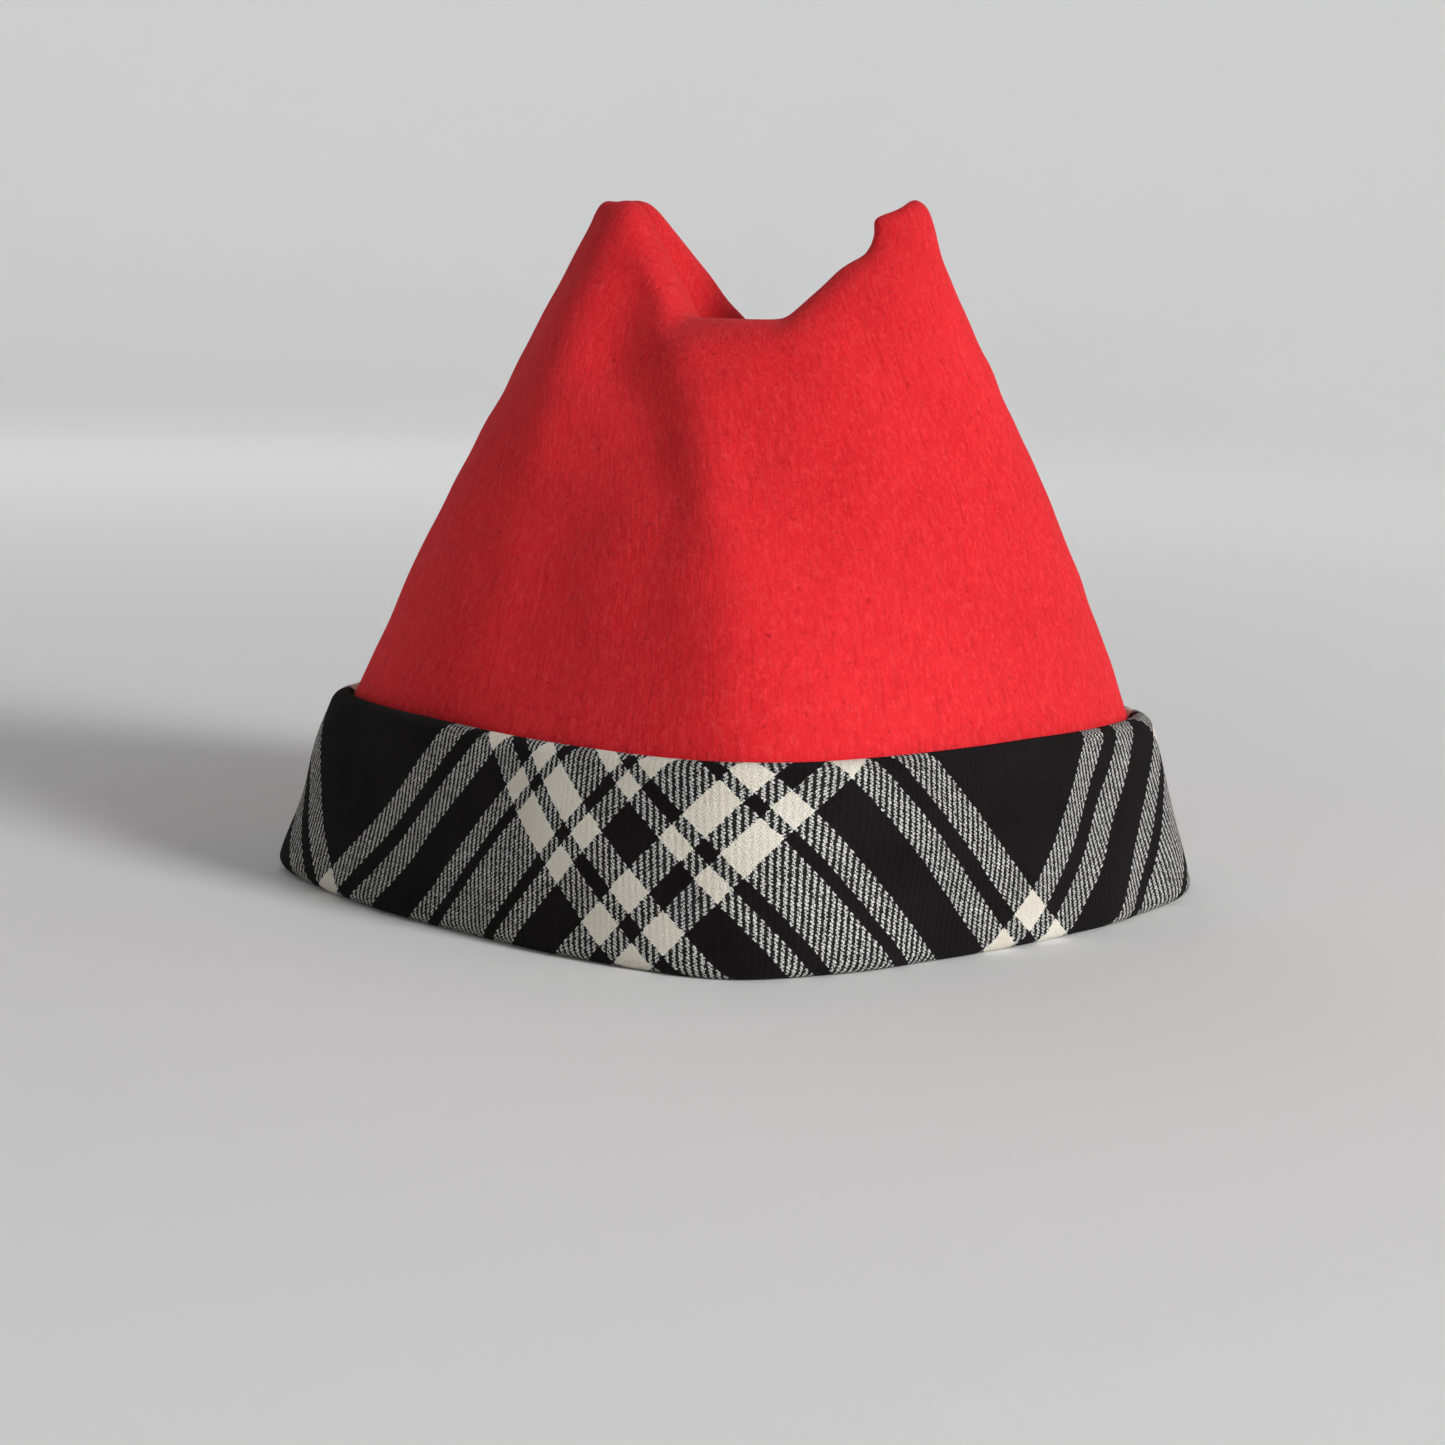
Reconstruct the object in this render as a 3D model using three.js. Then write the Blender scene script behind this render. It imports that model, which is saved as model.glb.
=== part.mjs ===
import * as THREE from 'three';
import { mergeVertices } from 'three/addons/utils/BufferGeometryUtils.js';

// A soft wool hat that stands on its rim: a felted crown drawn up into two peaks with a saddle
// between them, and a turned-up plaid cuff that wraps the crown's lower edge.
// Millimetres, +Z up, the wearer's front towards -Y, the origin under the middle of the rim.

// Driving dimensions
const rimWidth = 212; // over the cuff at the table, side to side, before its foot is rounded
const rimDepth = 208; // the same, front to back
const cuffTopWidth = 188; // over the cuff at its top fold, side to side
const cuffTopDepth = 184; // over the cuff at its top fold, front to back
const cuffHeight = 41.5;
const cuffThickness = 4.6; // two layers of plaid cloth
const cuffFootRadius = 3.6; // roll of the cuff's outer foot
const restBand = 4.4; // width of the foot that lies flat on a table
const facingHeight = 17; // top of the cuff's inner turn
const facingThickness = 2.2; // one layer of plaid cloth
const crownWall = 2.3;
const seatClearance = 0.4; // between the crown and the cuff that wraps it
const saddleHeight = 129.5; // the front fold at its lowest, between the peaks
const saddleWidth = 99; // the crown at that height, side to side
const saddleDepth = 40; // the crown at that height, front fold to back fold
const frontFoldFlat = 36; // the level stretch of the front fold, between the two slopes
const backFoldFlat = 22; // the same of the back fold
const dentDepth = 10; // how far the top seam sinks behind the front fold
const leftPeakHeight = 156.5;
const rightPeakHeight = 158;
const peakSpacing = 75; // between the two tips
const peakRound = 8; // how far inwards from each tip the top stays high
const peakThickness = 14; // each tip, front to back
const peakTurn = 22; // degrees by which the line through the peaks is turned, right one forward
const foldRise = 4; // the strongest soft fold or hollow
const cornerSoftness = 0.1; // rounding of the outline's four corners, a share of its half-width

// Sampling
const columns = 48; // a multiple of 4, so that a column stands at the front, back and each side
const bodySteps = 2; // rings between two body sections
const topSteps = 2; // rings between two top rings
const arcSteps = 2; // facets round each quarter of a bend

// Level sections from the cuff's top fold upwards. Height, width and depth are shares of the way
// from the cuff's top to the saddle, power is the exponent of the rounded-diamond outline, where 2
// is an ellipse, and turn is a share of peakTurn.
const bodySections = [
  { height: 0.0, width: 0.0, depth: 0.0, power: 1.32, turn: 0.0 },
  { height: 0.17, width: 0.165, depth: 0.14, power: 1.34, turn: 0.0 },
  { height: 0.36, width: 0.345, depth: 0.31, power: 1.4, turn: 0.04 },
  { height: 0.56, width: 0.53, depth: 0.5, power: 1.5, turn: 0.18 },
  { height: 0.74, width: 0.7, depth: 0.67, power: 1.65, turn: 0.42 },
  { height: 0.88, width: 0.825, depth: 0.8, power: 1.8, turn: 0.75 },
];

// Rings that climb from the level sections over the folds and the peaks and down to the top seam.
// front and back are how far the ring lies below the front fold, at the front and the back of the
// saddle, in shares of dentDepth. peak is its height at the tips in shares of their rise above the
// saddle. width, saddle and tip are its size over the tips, front to back over the saddle and front
// to back at the tips, in shares of peakSpacing, saddleDepth and peakThickness.
const topRings = [
  { front: 0.5, back: 0.88, peak: 0.36, width: 1.25, saddle: 1.5, tip: 2.9, power: 2.0 },
  { front: 0.1, back: 0.72, peak: 0.72, width: 1.12, saddle: 1.2, tip: 2.0, power: 2.1 },
  { front: 0.0, back: 0.66, peak: 0.93, width: 1.04, saddle: 0.9, tip: 1.35, power: 2.3 },
  { front: 0.25, back: 0.74, peak: 0.995, width: 0.98, saddle: 0.55, tip: 0.8, power: 2.4 },
  { front: 0.75, back: 0.92, peak: 1.0, width: 0.91, saddle: 0.22, tip: 0.32, power: 2.4 },
  { front: 1.0, back: 1.0, peak: 0.97, width: 0.86, saddle: 0.0, tip: 0.0, power: 2.4 },
];

// Soft folds and hollows of the cloth, each a smooth swell on the crown. angle is in degrees
// anticlockwise from the right side, height a share of the way from the cuff's top to the saddle,
// across and along are the swell's spreads in degrees and in that share, and rise is a share of
// foldRise, outwards where it is positive.
const folds = [
  { angle: 267, height: 0.45, across: 12, along: 0.45, rise: 0.45 },
  { angle: 246, height: 0.86, across: 13, along: 0.24, rise: -1.0 },
  { angle: 226, height: 1.0, across: 16, along: 0.3, rise: 0.6 },
  { angle: 232, height: 0.42, across: 12, along: 0.3, rise: -0.4 },
  { angle: 212, height: 0.2, across: 12, along: 0.24, rise: 0.35 },
  { angle: 300, height: 0.6, across: 20, along: 0.5, rise: 0.3 },
  { angle: 62, height: 0.7, across: 18, along: 0.3, rise: -0.6 },
  { angle: 100, height: 0.45, across: 16, along: 0.4, rise: 0.5 },
  { angle: 140, height: 0.55, across: 18, along: 0.35, rise: -0.45 },
];

const { lerp, degToRad, smoothstep } = THREE.MathUtils;

// The rounded-diamond outline, a closed curve through the half-width on X and the half-depth on Y.
function outlineCurve(angle, halfWidth, halfDepth, power) {
  const soften = (value) => Math.sqrt(value ** 2 + cornerSoftness ** 2);
  const spread = (along, across) => (soften(along) ** power + soften(across) ** power) ** (1 / power);
  const reach = spread(1, 0) / spread(Math.cos(angle), Math.sin(angle));
  return new THREE.Vector2(halfWidth * reach * Math.cos(angle), halfDepth * reach * Math.sin(angle));
}

// The same outline moved outwards along its own normal by the given offset.
function outlinePoint(angle, halfWidth, halfDepth, power, offset) {
  const nudge = 1e-4;
  const before = outlineCurve(angle - nudge, halfWidth, halfDepth, power);
  const after = outlineCurve(angle + nudge, halfWidth, halfDepth, power);
  const along = after.sub(before).normalize();
  const normal = new THREE.Vector2(along.y, -along.x);
  return outlineCurve(angle, halfWidth, halfDepth, power).addScaledVector(normal, offset);
}

function columnAngle(column) {
  return (column / columns) * 2 * Math.PI;
}

// The band of the crown that the cuff wraps, measured from the cuff's outer face: it is straight
// from the foot to the top fold, so the crown and the cuff follow it side by side.
const bandPower = bodySections[0].power;
const crownInset = -(cuffThickness + seatClearance);
const hemHeight = cuffThickness + seatClearance; // the crown's lower edge, above the cuff's fold
function bandPoint(column, height, offset) {
  const share = height / cuffHeight;
  const plan = outlinePoint(
    columnAngle(column),
    lerp(rimWidth, cuffTopWidth, share) / 2,
    lerp(rimDepth, cuffTopDepth, share) / 2,
    bandPower,
    offset,
  );
  return new THREE.Vector3(plan.x, plan.y, height);
}

function turned(point, share) {
  return point.applyAxisAngle(new THREE.Vector3(0, 0, 1), -degToRad(peakTurn) * share);
}

// The outward swell of all folds at one place of the crown.
function foldSwell(column, heightShare) {
  const degrees = (column / columns) * 360;
  let swell = 0;
  for (const fold of folds) {
    const turn = ((degrees - fold.angle + 540) % 360) - 180;
    const away = (turn / fold.across) ** 2 + ((heightShare - fold.height) / fold.along) ** 2;
    swell += fold.rise * foldRise * Math.exp(-away);
  }
  return swell * smoothstep(heightShare, 0, 0.2);
}

function swollen(point, column, heightShare) {
  const angle = columnAngle(column);
  const swell = foldSwell(column, heightShare);
  return point.add(new THREE.Vector3(Math.cos(angle), Math.sin(angle), 0).multiplyScalar(swell));
}

// A point of one of the level sections.
function bodyPoint(section, column) {
  const plan = outlinePoint(
    columnAngle(column),
    lerp(cuffTopWidth / 2, saddleWidth / 2 - crownInset, section.width),
    lerp(cuffTopDepth / 2, saddleDepth / 2 - crownInset, section.depth),
    section.power,
    crownInset,
  );
  const height = lerp(cuffHeight, saddleHeight, section.height);
  const point = turned(new THREE.Vector3(plan.x, plan.y, height), section.turn);
  return swollen(point, column, section.height);
}

// How far a place over the top has climbed from the saddle, 0, to a tip, 1.
function climb(x, y) {
  const flat = lerp(frontFoldFlat, backFoldFlat, y / saddleDepth + 0.5) / 2;
  const share = (Math.abs(x) - flat) / (peakSpacing / 2 - peakRound - flat);
  const ease = 0.15; // rounds the foot and the head of the slope
  return (1 + Math.hypot(share, ease) - Math.hypot(share - 1, ease)) / 2;
}

// A point of one of the rings that run over the folds and peaks. The last ring is folded flat into
// the top seam, so its front and back columns share their points.
function topPoint(ring, column) {
  const seam = ring.saddle === 0;
  const angle = columnAngle(seam ? Math.min(column, columns - column) : column);
  const plan = outlineCurve(angle, 1, 1, ring.power);
  const x = (plan.x * ring.width * peakSpacing) / 2;
  const fullDepth = (ring.saddle * saddleDepth) / 2;
  const share = climb(x, plan.y * fullDepth);
  const y = seam ? 0 : plan.y * lerp(fullDepth, (ring.tip * peakThickness) / 2, share);
  const tip = x < 0 ? leftPeakHeight : rightPeakHeight;
  const low = saddleHeight - lerp(ring.front, ring.back, plan.y / 2 + 0.5) * dentDepth;
  const high = saddleHeight + ring.peak * (tip - saddleHeight);
  const point = turned(new THREE.Vector3(x, y, lerp(low, high, share)), 1);
  return seam ? point : swollen(point, column, 1 + (1 - ring.saddle / topRings[0].saddle));
}

// One column of the crown's outer face, from the lower edge to the top seam.
function crownColumn(column) {
  const knots = [
    ...bodySections.map((section) => bodyPoint(section, column)),
    ...topRings.map((ring) => topPoint(ring, column)),
  ];
  const curve = new THREE.CatmullRomCurve3(knots);
  const points = [bandPoint(column, hemHeight, crownInset)];
  const spans = knots.length - 1;
  for (let span = 0; span < spans; span += 1) {
    const steps = span < bodySections.length - 1 ? bodySteps : topSteps;
    for (let step = 0; step < steps; step += 1) {
      points.push(curve.getPoint((span + step / steps) / spans));
    }
  }
  points.push(knots[spans]);
  return points;
}

// Outward normals of a grid of points, indexed [ring][column], that runs round and upwards.
function gridNormal(grid, ring, column) {
  const last = grid.length - 1;
  const atSeam = ring === last;
  const left = grid[ring][(column + columns - 1) % columns];
  const right = grid[ring][(column + 1) % columns];
  const below = grid[Math.max(ring - 1, 0)][column];
  const above = atSeam ? grid[ring - 1][(columns - column) % columns] : grid[ring + 1][column];
  const around = new THREE.Vector3().subVectors(right, left);
  const upward = new THREE.Vector3().subVectors(above, below);
  if (atSeam && column % (columns / 2) === 0) {
    // The seam's two ends, where the columns to the left and right coincide.
    const inward = new THREE.Vector3().subVectors(grid[ring][columns / 4], grid[ring][column]);
    const rise = new THREE.Vector3().subVectors(grid[ring][column], below).normalize();
    return rise.sub(inward.normalize()).normalize();
  }
  return around.cross(upward).normalize();
}

// A closed surface from two grids of one size, the outer one facing out and the inner one facing
// in, joined along their first rings.
function shellGeometry(outer, inner) {
  const positions = [];
  const index = [];
  for (const ring of [...outer, ...inner]) {
    for (const point of ring) {
      positions.push(point.x, point.y, point.z);
    }
  }
  const at = (ring, column) => ring * columns + (column % columns);
  const quad = (a, b, c, d) => index.push(a, b, c, a, c, d);
  const rings = outer.length;
  for (let column = 0; column < columns; column += 1) {
    for (let ring = 0; ring < rings - 1; ring += 1) {
      const next = ring + 1;
      quad(at(ring, column), at(ring, column + 1), at(next, column + 1), at(next, column));
      const under = rings + ring;
      quad(at(under, column), at(under + 1, column), at(under + 1, column + 1), at(under, column + 1));
    }
    quad(at(0, column), at(rings, column), at(rings, column + 1), at(0, column + 1));
  }
  return finished(positions, index);
}

function finished(positions, index) {
  const geometry = new THREE.BufferGeometry();
  geometry.setAttribute('position', new THREE.Float32BufferAttribute(positions, 3));
  geometry.setIndex(index);
  const merged = mergeVertices(geometry);
  merged.computeVertexNormals();
  return merged;
}

// The crown: one felted wall of even thickness, open at the bottom.
function crownGeometry() {
  const byColumn = Array.from({ length: columns }, (_, column) => crownColumn(column));
  const outer = byColumn[0].map((_, ring) => byColumn.map((points) => points[ring]));
  const inner = outer.map((points, ring) =>
    points.map((point, column) => {
      if (ring === 0) {
        return bandPoint(column, hemHeight, crownInset - crownWall);
      }
      return point.clone().addScaledVector(gridNormal(outer, ring, column), -crownWall);
    }),
  );
  return shellGeometry(outer, inner);
}

// The cuff's section as (offset from its outer face, height) pairs: up the outer face, over the top
// fold, down behind it, under the crown's lower edge, and up the inner turn and back to the foot.
function cuffSection() {
  const back = -cuffThickness;
  const facingOuter = crownInset - crownWall - seatClearance;
  const facingInner = facingOuter - facingThickness;
  const channel = hemHeight - seatClearance;
  const path = new THREE.Path();
  path.moveTo(-cuffFootRadius, 0);
  path.absarc(-cuffFootRadius, cuffFootRadius, cuffFootRadius, -Math.PI / 2, 0, false);
  const foldRadius = cuffThickness / 2;
  path.absarc(-foldRadius, cuffHeight - foldRadius, foldRadius, 0, Math.PI, false);
  path.lineTo(back, channel);
  path.lineTo(facingOuter, channel);
  const lipRadius = facingThickness / 2;
  path.absarc(facingOuter - lipRadius, facingHeight - lipRadius, lipRadius, 0, Math.PI, false);
  const innerFoot = -cuffFootRadius - restBand;
  path.lineTo(facingInner, (innerFoot - facingInner) * 0.9);
  path.lineTo(innerFoot, 0);
  return path;
}

function cuffGeometry() {
  const section = cuffSection().getPoints(arcSteps);
  const last = section.length - 1;
  if (section[0].distanceTo(section[last]) < 1e-6) {
    section.pop();
  }
  const positions = [];
  const index = [];
  section.forEach((place) => {
    for (let column = 0; column < columns; column += 1) {
      positions.push(...bandPoint(column, place.y, place.x).toArray());
    }
  });
  const rings = section.length;
  for (let ring = 0; ring < rings; ring += 1) {
    const next = (ring + 1) % rings;
    for (let column = 0; column < columns; column += 1) {
      const beside = (column + 1) % columns;
      const a = ring * columns + column;
      const b = ring * columns + beside;
      const c = next * columns + beside;
      const d = next * columns + column;
      index.push(a, b, c, a, c, d);
    }
  }
  return finished(positions, index);
}

const redFelt = new THREE.MeshStandardMaterial({ color: 0xb81420, roughness: 0.95, metalness: 0 });
const plaidWool = new THREE.MeshStandardMaterial({ color: 0x2b2a2a, roughness: 0.95, metalness: 0 });

function part(name, geometry, material) {
  const mesh = new THREE.Mesh(geometry, material);
  mesh.name = name;
  return mesh;
}

const hat = new THREE.Group();
hat.add(part('crown', crownGeometry(), redFelt));
hat.add(part('cuff', cuffGeometry(), plaidWool));

export default hat;
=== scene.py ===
"""Looks of the wool hat: a fulled red crown with two peaks, and a turned-up plaid cuff.

Sizes are in millimetres up to the point where a mesh is made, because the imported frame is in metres.
The hat's front faces -Y.
"""

import math

import bpy
import numpy as np
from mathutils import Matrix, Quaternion, Vector


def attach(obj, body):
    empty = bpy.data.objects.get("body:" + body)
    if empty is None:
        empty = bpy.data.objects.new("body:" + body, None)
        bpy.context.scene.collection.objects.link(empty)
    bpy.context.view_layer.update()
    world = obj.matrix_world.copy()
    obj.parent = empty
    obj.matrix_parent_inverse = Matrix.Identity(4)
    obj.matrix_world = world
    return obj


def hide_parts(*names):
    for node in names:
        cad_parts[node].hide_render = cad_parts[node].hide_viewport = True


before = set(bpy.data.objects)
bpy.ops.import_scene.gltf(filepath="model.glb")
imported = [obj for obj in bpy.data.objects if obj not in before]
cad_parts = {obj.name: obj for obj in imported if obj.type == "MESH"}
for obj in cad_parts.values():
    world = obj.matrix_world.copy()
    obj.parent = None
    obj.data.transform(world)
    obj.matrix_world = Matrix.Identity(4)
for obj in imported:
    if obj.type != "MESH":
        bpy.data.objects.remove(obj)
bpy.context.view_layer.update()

# Sizes, as in the part's source
RIM_WIDTH = 212.0
RIM_DEPTH = 208.0
CUFF_TOP_WIDTH = 188.0
CUFF_TOP_DEPTH = 184.0
CUFF_HEIGHT = 41.5
CUFF_THICKNESS = 4.6
CUFF_FOOT_RADIUS = 3.6
REST_BAND = 4.4
FACING_HEIGHT = 17.0
FACING_THICKNESS = 2.2
CROWN_WALL = 2.3
SEAT_CLEARANCE = 0.4
SADDLE_HEIGHT = 129.5
SADDLE_WIDTH = 99.0
SADDLE_DEPTH = 40.0
DENT_DEPTH = 10.0
LEFT_PEAK_HEIGHT = 156.5
RIGHT_PEAK_HEIGHT = 158.0
PEAK_SPACING = 75.0
PEAK_THICKNESS = 14.0
PEAK_TURN = math.radians(22.0)
FOLD_RISE = 4.0
CORNER_SOFTNESS = 0.1
BAND_POWER = 1.32

# Finer shapes of the visual pieces: the top seam, the belly of the cuff's outer face, the softness of
# the slopes' ends as a share of their length, and the height share at which the folds are full
SEAM_DIP = 0.9
SEAM_STITCH = 4.5
SEAM_PUCKER = 0.3
CUFF_BELLY = 0.55
SLOPE_EASE = 0.09
FOLD_EASE = 0.2

# Mesh density of the visual pieces
COLUMNS = 288
HEM_STEPS = 6
BODY_STEPS = 9
TOP_STEPS = 8
FOOT_STEPS = 8
FACE_STEPS = 22

# Sections of the crown's body from the cuff's top towards the saddle: height, width and depth in
# shares of the way, the outline's power, and the turn in shares of PEAK_TURN
BODY_SECTIONS = [
    (0.0, 0.0, 0.0, BAND_POWER, 0.0),
    (0.17, 0.165, 0.14, 1.34, 0.0),
    (0.36, 0.345, 0.31, 1.4, 0.04),
    (0.56, 0.53, 0.5, 1.5, 0.18),
    (0.74, 0.7, 0.67, 1.65, 0.42),
    (0.88, 0.825, 0.8, 1.8, 0.75),
]

# Rings over the top, from the body to the seam: how far the dent has sunk at the front and the back,
# how far the peaks have risen, width in shares of PEAK_SPACING, depth at the saddle and at the tips
# in shares of SADDLE_DEPTH and PEAK_THICKNESS, and the outline's power
TOP_RINGS = [
    (0.5, 0.88, 0.36, 1.25, 1.5, 2.9, 2.0),
    (0.1, 0.72, 0.72, 1.12, 1.2, 2.0, 2.1),
    (0.0, 0.66, 0.93, 1.04, 0.9, 1.35, 2.3),
    (0.25, 0.74, 0.995, 0.98, 0.55, 0.8, 2.4),
    (0.75, 0.92, 1.0, 0.91, 0.22, 0.32, 2.4),
    (1.0, 1.0, 0.97, 0.86, 0.0, 0.0, 2.4),
]

# Soft folds on the crown: angle in degrees, height share, spreads in degrees and in that share, rise
# in shares of FOLD_RISE. The last three are the groove of the back seam
FOLDS = [
    (267, 0.45, 12, 0.45, 0.45),
    (246, 0.86, 13, 0.24, -1.0),
    (226, 1.0, 16, 0.3, 0.6),
    (232, 0.42, 12, 0.3, -0.4),
    (212, 0.2, 12, 0.24, 0.35),
    (300, 0.6, 20, 0.5, 0.3),
    (62, 0.7, 18, 0.3, -0.6),
    (100, 0.45, 16, 0.4, 0.5),
    (140, 0.55, 18, 0.35, -0.45),
    (356, 0.28, 26, 0.35, 0.4),
    (184, 0.75, 24, 0.3, -0.3),
    (267, 0.62, 6, 0.3, 0.35),
    (256, 0.62, 7, 0.3, -0.28),
    (245, 0.95, 10, 0.16, -0.12),
    (262, 0.95, 8, 0.14, 0.2),
    (90, 0.5, 1.5, 2.0, -0.25),
    (86, 0.5, 2.4, 2.0, 0.08),
    (94, 0.5, 2.4, 2.0, 0.08),
]

# The slopes from the saddle to each ear: where each starts to climb at the front and at the back, and
# where it has reached the tip, in millimetres from the middle
SLOPES = {
    "left": (8.5, 5.0, 28.0),
    "right": (16.0, 13.0, 36.5),
}

# Small dents and knobs by place: x, y, z, spread, and the push along x, y and z, in millimetres
NIPS = [
    (35.0, -14.0, 152.0, 9.0, 1.6, 0.0, 1.0),
    (28.8, -16.8, 152.4, 2.9, -2.3, 0.0, 0.6),
    (23.0, -19.2, 145.6, 4.4, 2.3, 0.0, -0.8),
    (-31.5, 12.5, 157.0, 2.6, 0.0, 0.0, -1.6),
]

# Unevenness of the cloth: the size of its waves and their rise in millimetres, and the random seed
CROWN_WAVES = [
    (45, 0.2, 3),
    (16, 0.14, 4),
]
CUFF_LIFT_WAVES = (60, 0.45, 7)
CUFF_SIDE_WAVES = (30, 0.45, 8)

# Sines in each set of waves, the height over which the waves set in, the rings below the top seam over
# which they fade, and the height up to which the cuff isn't lifted
WAVE_COUNT = 14
WAVE_EASE_HEIGHT = 30.0
WAVE_EASE_RINGS = 12
CUFF_STILL_HEIGHT = 12.0

# How the plaid cloth lies along the band: place from the front's middle in millimetres, how much
# cloth each millimetre takes, and how far the cloth leans sideways for each millimetre upwards
CLOTH_LIE = [
    (-150, 0.95, 0.0),
    (-100, 1.05, 0.06),
    (-80, 1.13, 0.15),
    (-60, 1.18, 0.2),
    (-40, 1.05, 0.16),
    (-20, 0.94, 0.12),
    (0, 0.91, 0.045),
    (20, 0.87, -0.13),
    (40, 0.92, -0.22),
    (60, 1.0, -0.25),
    (80, 1.08, -0.08),
    (100, 0.97, 0.05),
    (120, 0.8, 0.1),
    (150, 0.72, 0.1),
]

# The height on the cuff that the lean leaves in place, a reach of just over half the way round the
# band, and the length of red cloth round the crown
LEAN_HEIGHT = 21.0
BAND_REACH = 310
CROWN_CLOTH_ROUND = 560.0

# The plaid's stripes as thread counts, white and black in turn, and the black threads between one
# group of stripes and the next, with the place where a group starts in millimetres
YARN = 0.5
SETT = [12, 8, 12, 18, 9, 5, 21, 5, 9, 18, 12, 8, 12]
GAP_ALONG_U = 123
GAP_ALONG_V = 107
GROUP_START_ALONG_U = -17.5
GROUP_START_ALONG_V = -87.5

CROWN_INSET = -(CUFF_THICKNESS + SEAT_CLEARANCE)
HEM_HEIGHT = CUFF_THICKNESS + SEAT_CLEARANCE
ANGLES = np.arange(COLUMNS) / COLUMNS * 2 * math.pi
MIRROR = (-np.arange(COLUMNS)) % COLUMNS
BACK_COLUMN = COLUMNS // 4


def lerp(low, high, share):
    """The value at a share of the way from low to high."""
    return low + (high - low) * share


def outline(angle, half_width, half_depth, power):
    """The rounded-diamond outline as x and y arrays."""

    def soften(value):
        return np.sqrt(value**2 + CORNER_SOFTNESS**2)

    def spread(along, across):
        return (soften(along) ** power + soften(across) ** power) ** (1 / power)

    reach = spread(1.0, 0.0) / spread(np.cos(angle), np.sin(angle))
    return half_width * reach * np.cos(angle), half_depth * reach * np.sin(angle)


def outline_offset(angle, half_width, half_depth, power, offset):
    """The same outline moved outwards along its own normal."""
    nudge = 1e-4
    x0, y0 = outline(angle - nudge, half_width, half_depth, power)
    x1, y1 = outline(angle + nudge, half_width, half_depth, power)
    run = np.hypot(x1 - x0, y1 - y0)
    x, y = outline(angle, half_width, half_depth, power)
    return x + (y1 - y0) / run * offset, y - (x1 - x0) / run * offset


def band(angle, height, offset):
    """Points of the straight band that the cuff wraps, measured from the cuff's outer face."""
    share = height / CUFF_HEIGHT
    half_width = lerp(RIM_WIDTH, CUFF_TOP_WIDTH, share) / 2
    half_depth = lerp(RIM_DEPTH, CUFF_TOP_DEPTH, share) / 2
    x, y = outline_offset(angle, half_width, half_depth, BAND_POWER, offset)
    return np.stack([x, y, np.full_like(x, height)], axis=-1)


def turned(x, y, share):
    """The plan turned by a share of PEAK_TURN, which brings the right side forward."""
    turn = PEAK_TURN * share
    return x * math.cos(turn) + y * math.sin(turn), y * math.cos(turn) - x * math.sin(turn)


def fold_swell(height_share):
    """The outward swell of all folds at one height share, for each column."""
    degrees = np.degrees(ANGLES)
    swell = np.zeros(COLUMNS)
    for angle, height, across, along, rise in FOLDS:
        away = ((degrees - angle + 540) % 360 - 180) / across
        up = (height_share - height) / along
        swell += rise * FOLD_RISE * np.exp(-(away**2) - up**2)
    ease = np.clip(height_share / FOLD_EASE, 0, 1)
    return swell * ease**2 * (3 - 2 * ease)


def swollen(x, y, z, height_share):
    """A ring of points pushed outwards by the folds."""
    swell = fold_swell(height_share)
    return np.stack([x + np.cos(ANGLES) * swell, y + np.sin(ANGLES) * swell, z], axis=-1)


def body_ring(section):
    """One ring of the crown's body, from a row of BODY_SECTIONS."""
    height, width, depth, power, turn = section
    half_width = lerp(CUFF_TOP_WIDTH / 2, SADDLE_WIDTH / 2 - CROWN_INSET, width)
    half_depth = lerp(CUFF_TOP_DEPTH / 2, SADDLE_DEPTH / 2 - CROWN_INSET, depth)
    x, y = outline_offset(ANGLES, half_width, half_depth, power, CROWN_INSET)
    x, y = turned(x, y, turn)
    z = np.full(COLUMNS, lerp(CUFF_HEIGHT, SADDLE_HEIGHT, height))
    return swollen(x, y, z, height)


def climb(x, y):
    """How far a place over the top has climbed from the saddle, 0, to a tip, 1."""
    front, back, head = np.where((x < 0)[..., None], SLOPES["left"], SLOPES["right"]).T
    foot = lerp(front, back, np.clip(y / SADDLE_DEPTH + 0.5, 0, 1))
    share = (np.abs(x) - foot) / (head - foot)
    return (1 + np.hypot(share, SLOPE_EASE) - np.hypot(share - 1, SLOPE_EASE)) / 2


def top_ring(ring):
    """One ring over the top, from a row of TOP_RINGS. The last has no depth and closes the top seam."""
    front, back, peak, width, saddle, tip, power = ring
    seam = saddle == 0.0
    angle = np.minimum(ANGLES, 2 * math.pi - ANGLES) if seam else ANGLES
    plan_x, plan_y = outline(angle, 1.0, 1.0, power)
    x = plan_x * width * PEAK_SPACING / 2
    full_depth = saddle * SADDLE_DEPTH / 2
    share = climb(x, plan_y * full_depth)
    y = np.zeros(COLUMNS) if seam else plan_y * lerp(full_depth, tip * PEAK_THICKNESS / 2, share)
    tip_height = np.where(x < 0, LEFT_PEAK_HEIGHT, RIGHT_PEAK_HEIGHT)
    low = SADDLE_HEIGHT - lerp(front, back, plan_y / 2 + 0.5) * DENT_DEPTH
    high = SADDLE_HEIGHT + peak * (tip_height - SADDLE_HEIGHT)
    x, y = turned(x, y, 1)
    z = lerp(low, high, share)
    if seam:
        return np.stack([x, y, z], axis=-1)
    return swollen(x, y, z, 1 + (1 - saddle / TOP_RINGS[0][4]))


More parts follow.
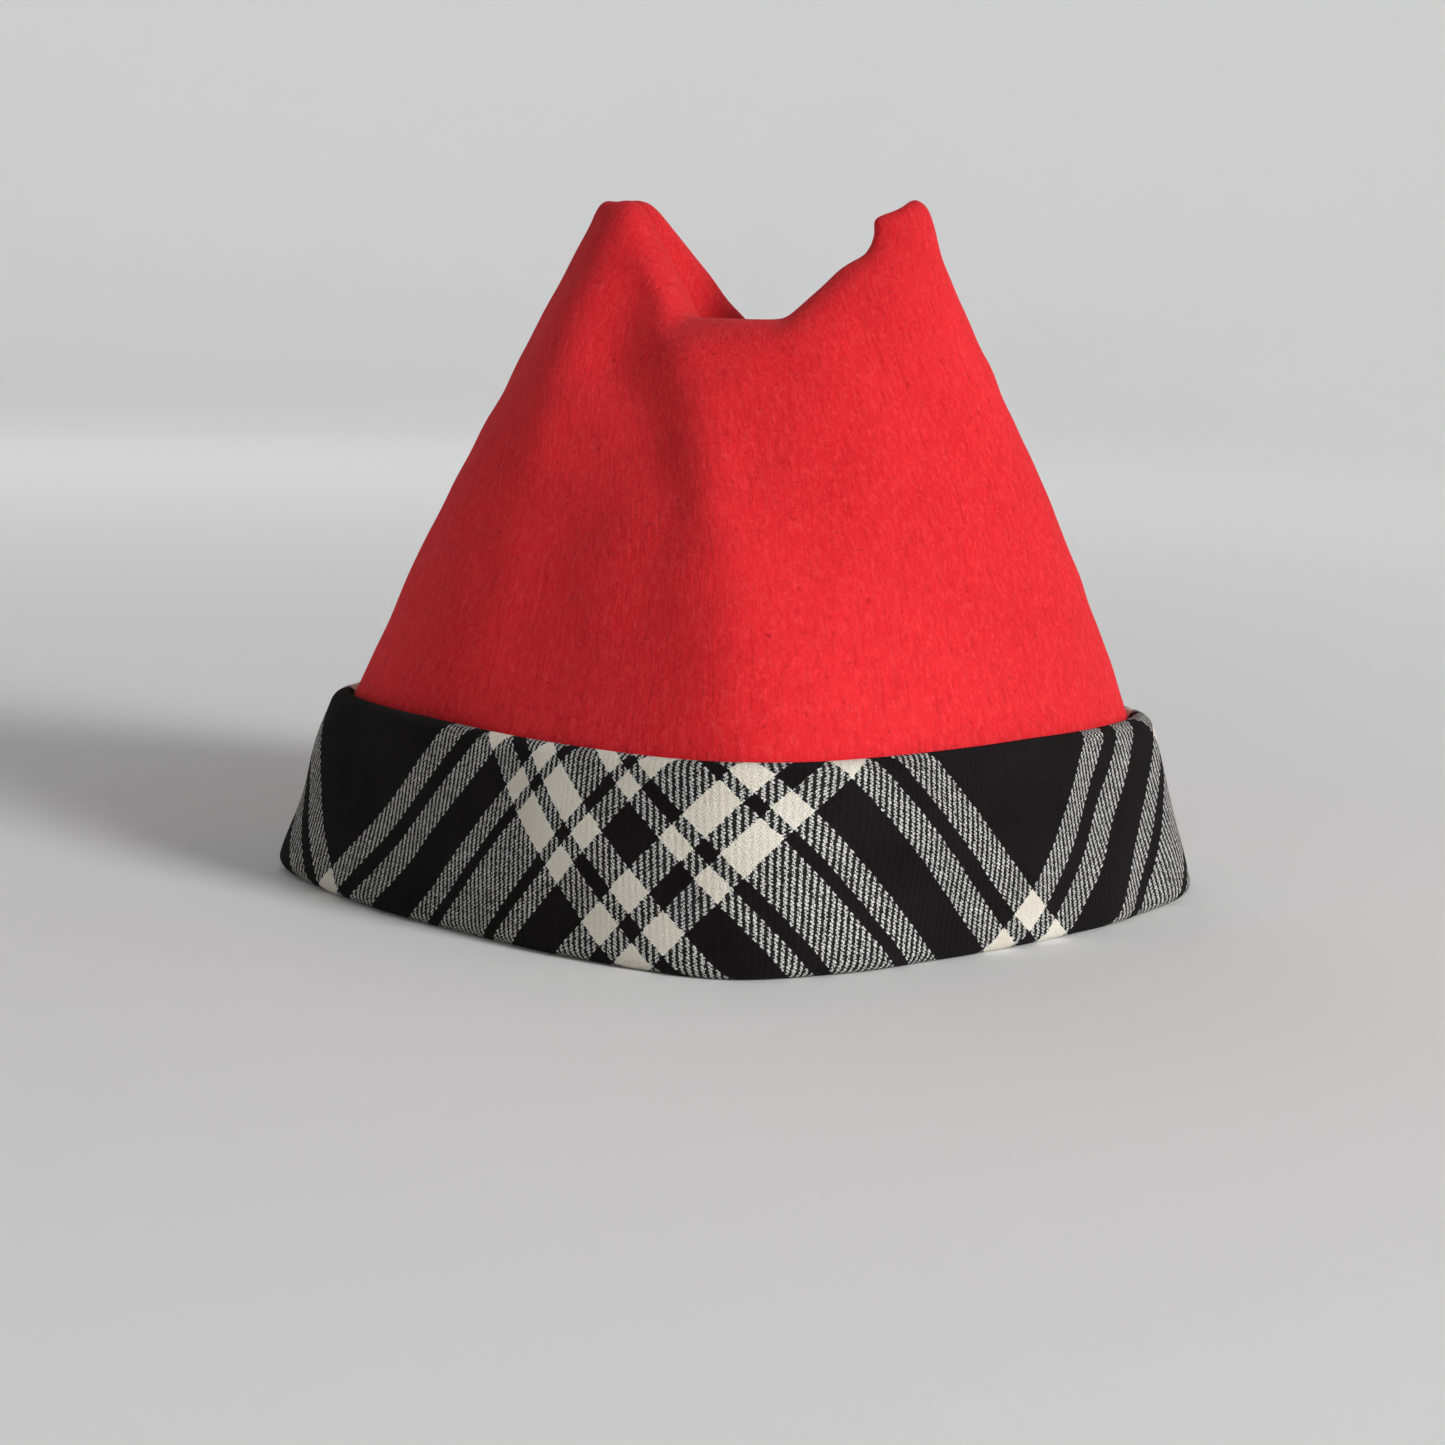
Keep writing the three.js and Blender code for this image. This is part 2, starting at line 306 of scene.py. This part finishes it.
def centripetal(knots, steps):
    """Points of the smooth curve through rings of knots, with the given number of steps a span."""
    first = 2 * knots[0] - knots[1]
    last = 2 * knots[-1] - knots[-2]
    chain = [first, *knots, last]
    rings = []
    for span, count in enumerate(steps):
        p0, p1, p2, p3 = chain[span : span + 4]
        d0, d1, d2 = (
            np.maximum(np.linalg.norm(b - a, axis=-1, keepdims=True), 1e-3) ** 0.5
            for a, b in ((p0, p1), (p1, p2), (p2, p3))
        )
        m1 = ((p1 - p0) / d0 - (p2 - p0) / (d0 + d1) + (p2 - p1) / d1) * d1
        m2 = ((p2 - p1) / d1 - (p3 - p1) / (d1 + d2) + (p3 - p2) / d2) * d1
        for step in range(count):
            t = step / count
            rings.append(
                p1 * (2 * t**3 - 3 * t**2 + 1)
                + m1 * (t**3 - 2 * t**2 + t)
                + p2 * (3 * t**2 - 2 * t**3)
                + m2 * (t**3 - t**2)
            )
    rings.append(knots[-1])
    return np.array(rings)


def waves(points, size, amount, seed):
    """Smooth random unevenness in space: one number in millimetres for each point."""
    rng = np.random.default_rng(seed)
    total = np.zeros(points.shape[:-1])
    for _ in range(WAVE_COUNT):
        direction = rng.normal(size=3)
        direction *= rng.uniform(0.6, 1.5) / size / np.linalg.norm(direction)
        total += np.sin(points @ direction * 2 * math.pi + rng.uniform(0, 2 * math.pi))
    return total * amount / math.sqrt(WAVE_COUNT / 2)


def grid_normals(grid):
    """Outward unit normals of a grid of rings that runs round and upwards to the top seam."""
    around = np.roll(grid, -1, axis=1) - np.roll(grid, 1, axis=1)
    above = np.concatenate([grid[1:], grid[-2:-1][:, MIRROR]])
    below = np.concatenate([grid[:1], grid[:-1]])
    normal = np.cross(around, above - below)
    length = np.linalg.norm(normal, axis=-1, keepdims=True)
    normal = normal / np.maximum(length, 1e-9)
    for column in (0, COLUMNS // 2):
        inward = grid[-1, COLUMNS // 4] - grid[-1, column]
        rise = grid[-1, column] - grid[-2, column]
        tip = rise / np.linalg.norm(rise) - inward / np.linalg.norm(inward)
        normal[-1, column] = tip / np.linalg.norm(tip)
    return normal


def make_mesh(name, points, faces, corner_uv, material):
    """A smooth mesh in metres, with a UV layer in millimetres given for each face corner."""
    mesh = bpy.data.meshes.new(name)
    mesh.from_pydata((points * 0.001).tolist(), [], faces.tolist())
    layer = mesh.uv_layers.new(name="cloth")
    layer.data.foreach_set("uv", corner_uv.reshape(-1).astype(np.float32))
    mesh.shade_smooth()
    mesh.materials.append(material)
    piece = bpy.data.objects.new(name, mesh)
    bpy.context.scene.collection.objects.link(piece)
    return piece


def ring_faces(rings, closed):
    """Quads between neighbouring rings, and the ring and column index of each corner."""
    ring = np.arange(rings if closed else rings - 1)[:, None]
    column = np.arange(COLUMNS)[None, :]
    corners = []
    for up, along in ((0, 0), (0, 1), (1, 1), (1, 0)):
        corners.append(np.stack(np.broadcast_arrays(ring + up, column + along), axis=-1))
    corners = np.stack(corners, axis=2).reshape(-1, 4, 2)
    index = (corners[..., 0] % rings) * COLUMNS + corners[..., 1] % COLUMNS
    return index, corners


def crown_grid():
    """The crown's outer face as rings of points, from the hem inside the cuff up to the top seam."""
    knots = [body_ring(section) for section in BODY_SECTIONS] + [top_ring(ring) for ring in TOP_RINGS]
    steps = [BODY_STEPS] * (len(BODY_SECTIONS) - 1) + [TOP_STEPS] * len(TOP_RINGS)
    upper = centripetal(knots, steps)
    hem = band(ANGLES, HEM_HEIGHT, CROWN_INSET)
    lower = np.array([lerp(hem, upper[0], step / HEM_STEPS) for step in range(HEM_STEPS)])
    grid = np.concatenate([lower, upper])
    rings_left = np.arange(len(grid))[::-1, None, None]
    free = np.clip((grid[..., 2:] - CUFF_HEIGHT) / WAVE_EASE_HEIGHT, 0, 1)
    free = free * np.clip(rings_left / WAVE_EASE_RINGS, 0, 1)
    normal = grid_normals(grid)
    for size, amount, seed in CROWN_WAVES:
        grid = grid + normal * free * waves(grid, size, amount, seed)[..., None]
    for x, y, z, spread, push_x, push_y, push_z in NIPS:
        away = np.linalg.norm(grid - np.array([x, y, z]), axis=-1, keepdims=True) / spread
        grid = grid + np.exp(-(away**2)) * np.array([push_x, push_y, push_z])
    seam = (grid[-1] + grid[-1][MIRROR]) / 2
    from_tip = 1 - (np.abs(seam[:, 0]) / np.abs(seam[:, 0]).max()) ** 4
    pucker = 1 + SEAM_PUCKER * np.cos(seam[:, 0] * 2 * math.pi / SEAM_STITCH)
    seam[:, 2] -= SEAM_DIP * from_tip * pucker
    grid[-1] = seam
    return grid


def build_crown(material):
    """The crown: its outer face, an inner face one wall further in, and the hem that joins them."""
    outer = crown_grid()
    inner = outer - grid_normals(outer) * CROWN_WALL
    inner[0] = band(ANGLES, HEM_HEIGHT, CROWN_INSET - CROWN_WALL)
    points = np.concatenate([outer, inner]).reshape(-1, 3)
    inner_start = len(outer) * COLUMNS
    faces, corners = ring_faces(len(outer), closed=False)
    column = np.arange(COLUMNS)
    beside = (column + 1) % COLUMNS
    hem = np.stack([column, column + inner_start, beside + inner_start, beside], axis=-1)
    ring_step = np.linalg.norm(np.diff(outer, axis=0), axis=-1).mean(axis=1)
    height = np.concatenate([[0], np.cumsum(ring_step)])
    along = np.arange(COLUMNS + 1) / COLUMNS * CROWN_CLOTH_ROUND
    uv = np.stack([along[corners[..., 1]], height[corners[..., 0]]], axis=-1)
    hem_along = along[np.stack([column, column, column + 1, column + 1], axis=-1)]
    hem_uv = np.stack([hem_along, np.zeros_like(hem_along)], axis=-1)
    faces = np.concatenate([faces, (faces + inner_start)[:, ::-1], hem])
    uv = np.concatenate([uv, uv[:, ::-1], hem_uv])
    return make_mesh("wool_crown", points, faces, uv, material)


def cloth_place(along, up):
    """Yarn coordinates in millimetres of a place on the band: along it, and up its slope."""
    places, takes, leans = np.array(CLOTH_LIE).T
    band_places = np.arange(-BAND_REACH, BAND_REACH + 1, 1.0)
    take = np.interp(band_places, places, takes)
    cloth = np.concatenate([[0], np.cumsum((take[1:] + take[:-1]) / 2)])
    cloth -= np.interp(0, band_places, cloth)
    lean = np.interp(along, places, leans)
    across = np.interp(along, band_places, cloth) + lean * (up - LEAN_HEIGHT)
    return (across + up) / math.sqrt(2), (across - up) / math.sqrt(2)


def straight(start, end, steps):
    """Places along a straight run of the cuff's section, without its start."""
    shares = np.arange(1, steps + 1)[:, None] / steps
    return lerp(np.array(start), np.array(end), shares).tolist()


def bend(centre, radius, start, end, steps):
    """Places along a round bend of the section between two angles in degrees, without its start."""
    turns = np.radians(lerp(start, end, np.arange(1, steps + 1) / steps))
    x = centre[0] + radius * np.cos(turns)
    y = centre[1] + radius * np.sin(turns)
    return np.stack([x, y], axis=-1).tolist()


def cuff_section():
    """The cuff's section as offset from its outer face and height, and the place up the cloth."""
    foot = CUFF_FOOT_RADIUS
    brim = CUFF_THICKNESS / 2
    top = CUFF_HEIGHT - brim
    channel = HEM_HEIGHT - SEAT_CLEARANCE
    facing_outer = CROWN_INSET - CROWN_WALL - SEAT_CLEARANCE
    facing_inner = facing_outer - FACING_THICKNESS
    lip = FACING_THICKNESS / 2
    lip_height = FACING_HEIGHT - lip
    rest = -foot - REST_BAND
    turn_in = rest - facing_inner
    places = [[-foot, 0.0]]
    places += bend((-foot, foot), foot, -90, 0, FOOT_STEPS)
    for step in range(1, FACE_STEPS):
        share = step / FACE_STEPS
        places.append([CUFF_BELLY * math.sin(share * math.pi), lerp(foot, top, share)])
    places.append([0.0, top])
    places += bend((-brim, top), brim, 0, 180, 12)
    places += straight((-CUFF_THICKNESS, top), (-CUFF_THICKNESS, channel), 8)
    places += straight((-CUFF_THICKNESS, channel), (facing_outer, channel), 3)
    places += straight((facing_outer, channel), (facing_outer, lip_height), 4)
    places += bend((facing_outer - lip, lip_height), lip, 0, 180, 8)
    places += straight((facing_inner, lip_height), (facing_inner, turn_in), 7)
    places += bend((rest, turn_in), turn_in, 180, 270, 4)
    places = np.array(places)
    run = np.concatenate([[0], np.cumsum(np.hypot(*np.diff(places, axis=0).T))])
    return places, run - run[FOOT_STEPS] + foot


def build_cuff(material):
    """The cuff: its section carried round the band, with slow waves. Its plaid meets at the back."""
    section, up = cuff_section()
    grid = np.array([band(ANGLES, height, offset) for offset, height in section])
    lift = np.clip((grid[..., 2:] - CUFF_STILL_HEIGHT) / WAVE_EASE_HEIGHT, 0, 1) * np.array([0, 0, 1.0])
    sideways = np.stack([np.cos(ANGLES), np.sin(ANGLES), np.zeros(COLUMNS)], axis=-1)
    outside = np.clip(section[:, 0] / CUFF_THICKNESS + 1, 0, 1)[:, None, None]
    grid = grid + lift * waves(grid, *CUFF_LIFT_WAVES)[..., None] * outside
    grid = grid + sideways * waves(grid, *CUFF_SIDE_WAVES)[..., None] * outside
    middle = band(ANGLES, CUFF_HEIGHT / 2, 0.0)
    from_back = (np.arange(COLUMNS + 1) + BACK_COLUMN) % COLUMNS
    run = np.linalg.norm(np.diff(middle[from_back], axis=0), axis=-1)
    along = np.concatenate([[0], np.cumsum(run)])
    along -= along[COLUMNS // 2]
    faces, corners = ring_faces(len(section), closed=True)
    first = corners[:, :1, 1]
    step = (first - BACK_COLUMN) % COLUMNS + corners[..., 1] - first
    rise = np.append(up, up[0] - REST_BAND)[corners[..., 0]]
    uv = np.stack(cloth_place(along[step], rise), axis=-1)
    return make_mesh("plaid_cuff", grid.reshape(-1, 3), faces, uv, material)


class Nodes:
    """Short calls that add shader nodes to one material."""

    def __init__(self, name):
        self.material = bpy.data.materials.new(name)
        self.material.use_nodes = True
        self.tree = self.material.node_tree
        self.shader = self.tree.nodes["Principled BSDF"]

    def put(self, socket, value):
        """Links another node's socket, or sets a plain value."""
        if isinstance(value, bpy.types.NodeSocket):
            self.tree.links.new(value, socket)
        else:
            socket.default_value = value

    def constants(self, values):
        """Sets what is the same all over the surface, on the shader's own sockets."""
        for name, value in values.items():
            self.shader.inputs[name].default_value = value

    def math(self, operation, *values):
        node = self.tree.nodes.new("ShaderNodeMath")
        node.operation = operation
        for socket, value in zip(node.inputs, values):
            self.put(socket, value)
        return node.outputs[0]

    def mix(self, factor, first, second, blend="MIX"):
        node = self.tree.nodes.new("ShaderNodeMix")
        node.data_type = "RGBA"
        node.blend_type = blend
        self.put(node.inputs["Factor"], factor)
        self.put(node.inputs["A"], first)
        self.put(node.inputs["B"], second)
        return node.outputs["Result"]

    def noise(self, vector, scale, detail=2.0, roughness=0.5):
        node = self.tree.nodes.new("ShaderNodeTexNoise")
        self.put(node.inputs["Vector"], vector)
        node.inputs["Scale"].default_value = scale
        node.inputs["Detail"].default_value = detail
        node.inputs["Roughness"].default_value = roughness
        return node.outputs["Fac"]

    def stretch(self, vector, scale):
        node = self.tree.nodes.new("ShaderNodeMapping")
        self.put(node.inputs["Vector"], vector)
        node.inputs["Scale"].default_value = scale
        return node.outputs["Vector"]

    def remap(self, value, low, high, to_low=0.0, to_high=1.0):
        node = self.tree.nodes.new("ShaderNodeMapRange")
        self.put(node.inputs["Value"], value)
        node.inputs["From Min"].default_value = low
        node.inputs["From Max"].default_value = high
        node.inputs["To Min"].default_value = to_low
        node.inputs["To Max"].default_value = to_high
        return node.outputs["Result"]

    def uv(self):
        node = self.tree.nodes.new("ShaderNodeUVMap")
        node.uv_map = "cloth"
        return node.outputs["UV"]

    def place(self):
        return self.tree.nodes.new("ShaderNodeTexCoord").outputs["Object"]

    def split(self, vector):
        node = self.tree.nodes.new("ShaderNodeSeparateXYZ")
        self.put(node.inputs["Vector"], vector)
        return node.outputs["X"], node.outputs["Y"]

    def bump(self, height, distance, strength=1.0):
        node = self.tree.nodes.new("ShaderNodeBump")
        self.put(node.inputs["Height"], height)
        node.inputs["Distance"].default_value = distance
        node.inputs["Strength"].default_value = strength
        return node.outputs["Normal"]


def red_wool():
    """Fulled wool: short upright streaks, a felted nap and darker flecks."""
    n = Nodes("red_wool")
    place = n.place()
    cloth = n.uv()
    patches = n.remap(n.noise(place, 18, 3), 0.35, 0.65)
    nap = n.noise(place, 900, 4, 0.65)
    mottle = n.noise(n.stretch(cloth, (0.5, 0.3, 1.0)), 1.0, 4, 0.6)
    flecks = n.noise(place, 800, 2, 0.5)
    runs = n.noise(n.stretch(cloth, (0.5, 0.09, 1.0)), 1.0, 4, 0.65)
    streaks = n.noise(n.stretch(cloth, (1.1, 0.22, 1.0)), 1.0, 3, 0.6)
    fine = n.noise(n.stretch(cloth, (3.2, 0.9, 1.0)), 1.0, 2, 0.6)
    # pattern, value where the tint starts, value where it is full, how much of it, tint
    tints = [
        (runs, 0.48, 0.3, 0.55, (0.48, 0.007, 0.014, 1)),
        (streaks, 0.56, 0.74, 0.4, (0.88, 0.045, 0.055, 1)),
        (streaks, 0.44, 0.28, 0.45, (0.45, 0.007, 0.014, 1)),
        (flecks, 0.63, 0.78, 0.6, (0.26, 0.004, 0.010, 1)),
        (fine, 0.42, 0.25, 0.5, (0.34, 0.005, 0.011, 1)),
        (mottle, 0.5, 0.72, 0.3, (0.92, 0.07, 0.075, 1)),
        (nap, 0.5, 0.75, 0.25, (0.95, 0.10, 0.10, 1)),
    ]
    base = n.mix(patches, (0.66, 0.014, 0.021, 1), (0.75, 0.020, 0.028, 1))
    for pattern, start, full, amount, tint in tints:
        base = n.mix(n.remap(pattern, start, full, 0.0, amount), base, tint)
    n.put(n.shader.inputs["Base Color"], base)
    n.constants({"Roughness": 0.95, "Specular IOR Level": 0.1})
    n.constants({"Sheen Weight": 0.09, "Sheen Roughness": 0.6, "Sheen Tint": (1.0, 0.45, 0.45, 1)})
    height = n.math("ADD", n.math("MULTIPLY", nap, 0.6), n.math("MULTIPLY", streaks, 0.7))
    height = n.math("ADD", height, n.math("MULTIPLY", fine, 0.5))
    n.put(n.shader.inputs["Normal"], n.bump(height, 0.00035, 0.8))
    return n.material


def plaid_stripe(n, thread, start, gap):
    """1 where the yarn of that number is white and 0 where it is black."""
    total = sum(SETT) + gap
    shifted = n.math("SUBTRACT", thread, round(start / YARN) - 0.5)
    share = n.math("DIVIDE", n.math("FLOORED_MODULO", shifted, float(total)), float(total))
    ramp = n.tree.nodes.new("ShaderNodeValToRGB")
    ramp.color_ramp.interpolation = "CONSTANT"
    stops = ramp.color_ramp.elements
    edge = 0
    for number, threads in enumerate([*SETT, gap]):
        stop = stops[number] if number < 2 else stops.new(edge / total)
        stop.position = edge / total
        white = 1.0 if number % 2 == 0 else 0.0
        stop.color = (white, white, white, 1)
        edge += threads
    n.put(ramp.inputs["Fac"], share)
    return ramp.outputs["Color"]


def plaid_wool():
    """A two-colour twill on the bias. Where both yarns are white it is white, and where they differ it
    shows steep twill lines."""
    n = Nodes("plaid_wool")
    place = n.place()
    u, v = n.split(n.uv())
    wobble = n.remap(n.noise(place, 260, 2), 0.3, 0.7, -0.1, 0.1)
    fray_u = n.remap(n.noise(place, 1900, 2), 0.3, 0.7, -0.2, 0.2)
    fray_v = n.remap(n.noise(place, 2300, 2), 0.3, 0.7, -0.2, 0.2)
    u = n.math("DIVIDE", n.math("ADD", n.math("ADD", u, wobble), fray_u), YARN)
    v = n.math("DIVIDE", n.math("ADD", n.math("SUBTRACT", v, wobble), fray_v), YARN)
    thread_u = n.math("FLOOR", u)
    thread_v = n.math("FLOOR", v)
    white_u = plaid_stripe(n, thread_u, GROUP_START_ALONG_U, GAP_ALONG_U)
    white_v = plaid_stripe(n, thread_v, GROUP_START_ALONG_V, GAP_ALONG_V)
    # Twill: each yarn goes over two and under two, one thread further on in each row
    turn = n.math("FLOORED_MODULO", n.math("ADD", thread_u, thread_v), 4.0)
    on_top = n.math("LESS_THAN", turn, 1.5)
    white = n.mix(on_top, white_v, white_u)
    across_u = n.math("SUBTRACT", u, thread_u)
    across_v = n.math("SUBTRACT", v, thread_v)
    round_u = n.math("SINE", n.math("MULTIPLY", across_u, math.pi))
    round_v = n.math("SINE", n.math("MULTIPLY", across_v, math.pi))
    over = n.mix(on_top, round_v, round_u)
    under = n.mix(on_top, round_u, round_v)
    yarn_round = n.math("MULTIPLY", over, n.remap(under, 0, 1, 0.55))
    both = n.math("MULTIPLY", white_u, white_v)
    neither = n.math("MULTIPLY", n.math("SUBTRACT", 1.0, white_u), n.math("SUBTRACT", 1.0, white_v))
    thin = n.math("MULTIPLY", white, n.remap(yarn_round, 0.22, 0.55))
    white = n.math("MAXIMUM", both, thin)
    twill = n.math("SINE", n.math("MULTIPLY", n.math("ADD", u, v), math.pi / 2))
    fuzz = n.noise(place, 1500, 3, 0.6)
    hairs = n.remap(n.noise(n.stretch(place, (900, 900, 2600)), 1.0, 3, 0.7), 0.55, 0.75)
    patches = n.remap(n.noise(place, 60, 3), 0.3, 0.7)
    pale = n.mix(patches, (0.86, 0.80, 0.68, 1), (0.96, 0.91, 0.80, 1))
    dull = n.mix(patches, (0.62, 0.62, 0.59, 1), (0.76, 0.76, 0.72, 1))
    dark = n.mix(patches, (0.006, 0.005, 0.005, 1), (0.012, 0.010, 0.011, 1))
    grey = n.mix(hairs, (0.018, 0.017, 0.017, 1), (0.10, 0.10, 0.10, 1))
    colour = n.mix(white, n.mix(neither, grey, dark), n.mix(both, dull, pale))
    # Painted shade: the colour is darkened where each yarn rounds down into the gaps between threads
    shade = n.remap(yarn_round, 0.0, 0.9, 0.8, 1.0)
    colour = n.mix(1.0, colour, shade, "MULTIPLY")
    colour = n.mix(n.remap(fuzz, 0.66, 0.85, 0.0, 0.12), colour, (0.30, 0.28, 0.27, 1))
    n.put(n.shader.inputs["Base Color"], colour)
    n.constants({"Roughness": 0.95, "Specular IOR Level": 0.05})
    n.constants({"Sheen Weight": 0.02, "Sheen Roughness": 0.6})
    height = n.math("ADD", yarn_round, n.math("MULTIPLY", twill, 0.35))
    height = n.math("ADD", height, n.math("MULTIPLY", fuzz, 0.6))
    n.put(n.shader.inputs["Normal"], n.bump(height, 0.0003, 0.8))
    return n.material


crown = build_crown(red_wool())
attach(crown, "root")
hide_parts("crown")

cuff = build_cuff(plaid_wool())
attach(cuff, "root")
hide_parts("cuff")

# The floor: the radius of its flat middle and of the curve up to its rim in metres, steps in that
# curve, and columns round it
FLOOR_FLAT = 1.9
FLOOR_CURVE = 2.3
FLOOR_STEPS = 16
FLOOR_COLUMNS = 96


def build_floor():
    """A plain pale floor that rises in a wide, soft curve all round, well behind the camera."""
    profile = [(0.0, 0.0)]
    for step in range(FLOOR_STEPS + 1):
        turn = step / FLOOR_STEPS * math.pi / 2
        radius = FLOOR_FLAT + FLOOR_CURVE * math.sin(turn)
        profile.append((radius, FLOOR_CURVE - FLOOR_CURVE * math.cos(turn)))
    points = []
    for radius, height in profile:
        for column in range(FLOOR_COLUMNS):
            turn = column / FLOOR_COLUMNS * 2 * math.pi
            points.append((radius * math.cos(turn), radius * math.sin(turn), height))
    faces = []
    for ring in range(len(profile) - 1):
        low = ring * FLOOR_COLUMNS
        high = low + FLOOR_COLUMNS
        for column in range(FLOOR_COLUMNS):
            beside = (column + 1) % FLOOR_COLUMNS
            faces.append((low + column, low + beside, high + beside, high + column))
    mesh = bpy.data.meshes.new("floor")
    mesh.from_pydata(points, [], faces)
    mesh.shade_smooth()
    n = Nodes("pale_floor")
    n.constants({"Base Color": (0.88, 0.88, 0.88, 1), "Roughness": 0.9, "Specular IOR Level": 0.1})
    mesh.materials.append(n.material)
    floor = bpy.data.objects.new("floor", mesh)
    bpy.context.scene.collection.objects.link(floor)


build_floor()

# Camera at the photograph's angle, placed in metres
IMAGE_SIZE = 1445
SENSOR_WIDTH = 36
FOCAL_PIXELS = 2932.2
CAMERA_PLACE = Vector((0, -0.6729, 0.13735))
CAMERA_TARGET = Vector((0, 0, 0.08))
CAMERA_ROLL = 0.029
SHIFT_PIXELS = (-23.5, -188.0)
camera_data = bpy.data.cameras.new("camera")
camera_data.sensor_width = SENSOR_WIDTH
camera_data.lens = FOCAL_PIXELS / IMAGE_SIZE * SENSOR_WIDTH
camera_data.shift_x = SHIFT_PIXELS[0] / IMAGE_SIZE
camera_data.shift_y = SHIFT_PIXELS[1] / IMAGE_SIZE
camera_data.clip_start = 0.01
camera = bpy.data.objects.new("camera", camera_data)
camera.location = CAMERA_PLACE
aim = (CAMERA_TARGET - CAMERA_PLACE).to_track_quat("-Z", "Y")
camera.rotation_mode = "QUATERNION"
camera.rotation_quaternion = aim @ Quaternion((0, 0, 1), CAMERA_ROLL)
bpy.context.scene.collection.objects.link(camera)
bpy.context.scene.camera = camera

# Soft studio light, strongest from the right as in the photograph, and four lights that face the
# floor's rising walls: name, place, target, power in watts, size in metres
HAT_MIDDLE = (0, 0, 0.08)
LIGHTS = [
    ("key", (1.95, -1.55, 1.02), HAT_MIDDLE, 59, 0.75),
    ("back", (-0.5, 1.4, 1.1), HAT_MIDDLE, 3, 1.2),
    ("wall", (0, 1.4, 2.4), (0, 4.1, 0.7), 25, 1.4),
    ("wall", (1.4, 0, 2.4), (4.1, 0, 0.7), 25, 1.4),
    ("wall", (0, -1.4, 2.4), (0, -4.1, 0.7), 25, 1.4),
    ("wall", (-1.4, 0, 2.4), (-4.1, 0, 0.7), 25, 1.4),
]
WORLD_STRENGTH = 0.1
for name, place, target, power, size in LIGHTS:
    light = bpy.data.lights.new(name, "AREA")
    light.energy = power
    light.size = size
    lamp = bpy.data.objects.new(name, light)
    lamp.location = place
    lamp.rotation_euler = (Vector(target) - Vector(place)).to_track_quat("-Z", "Y").to_euler()
    bpy.context.scene.collection.objects.link(lamp)
world = bpy.data.worlds.new("world")
bpy.context.scene.world = world
world.use_nodes = True
background = world.node_tree.nodes["Background"]
background.inputs["Color"].default_value = (1, 1, 1, 1)
background.inputs["Strength"].default_value = WORLD_STRENGTH
bpy.context.scene.view_settings.view_transform = "Standard"
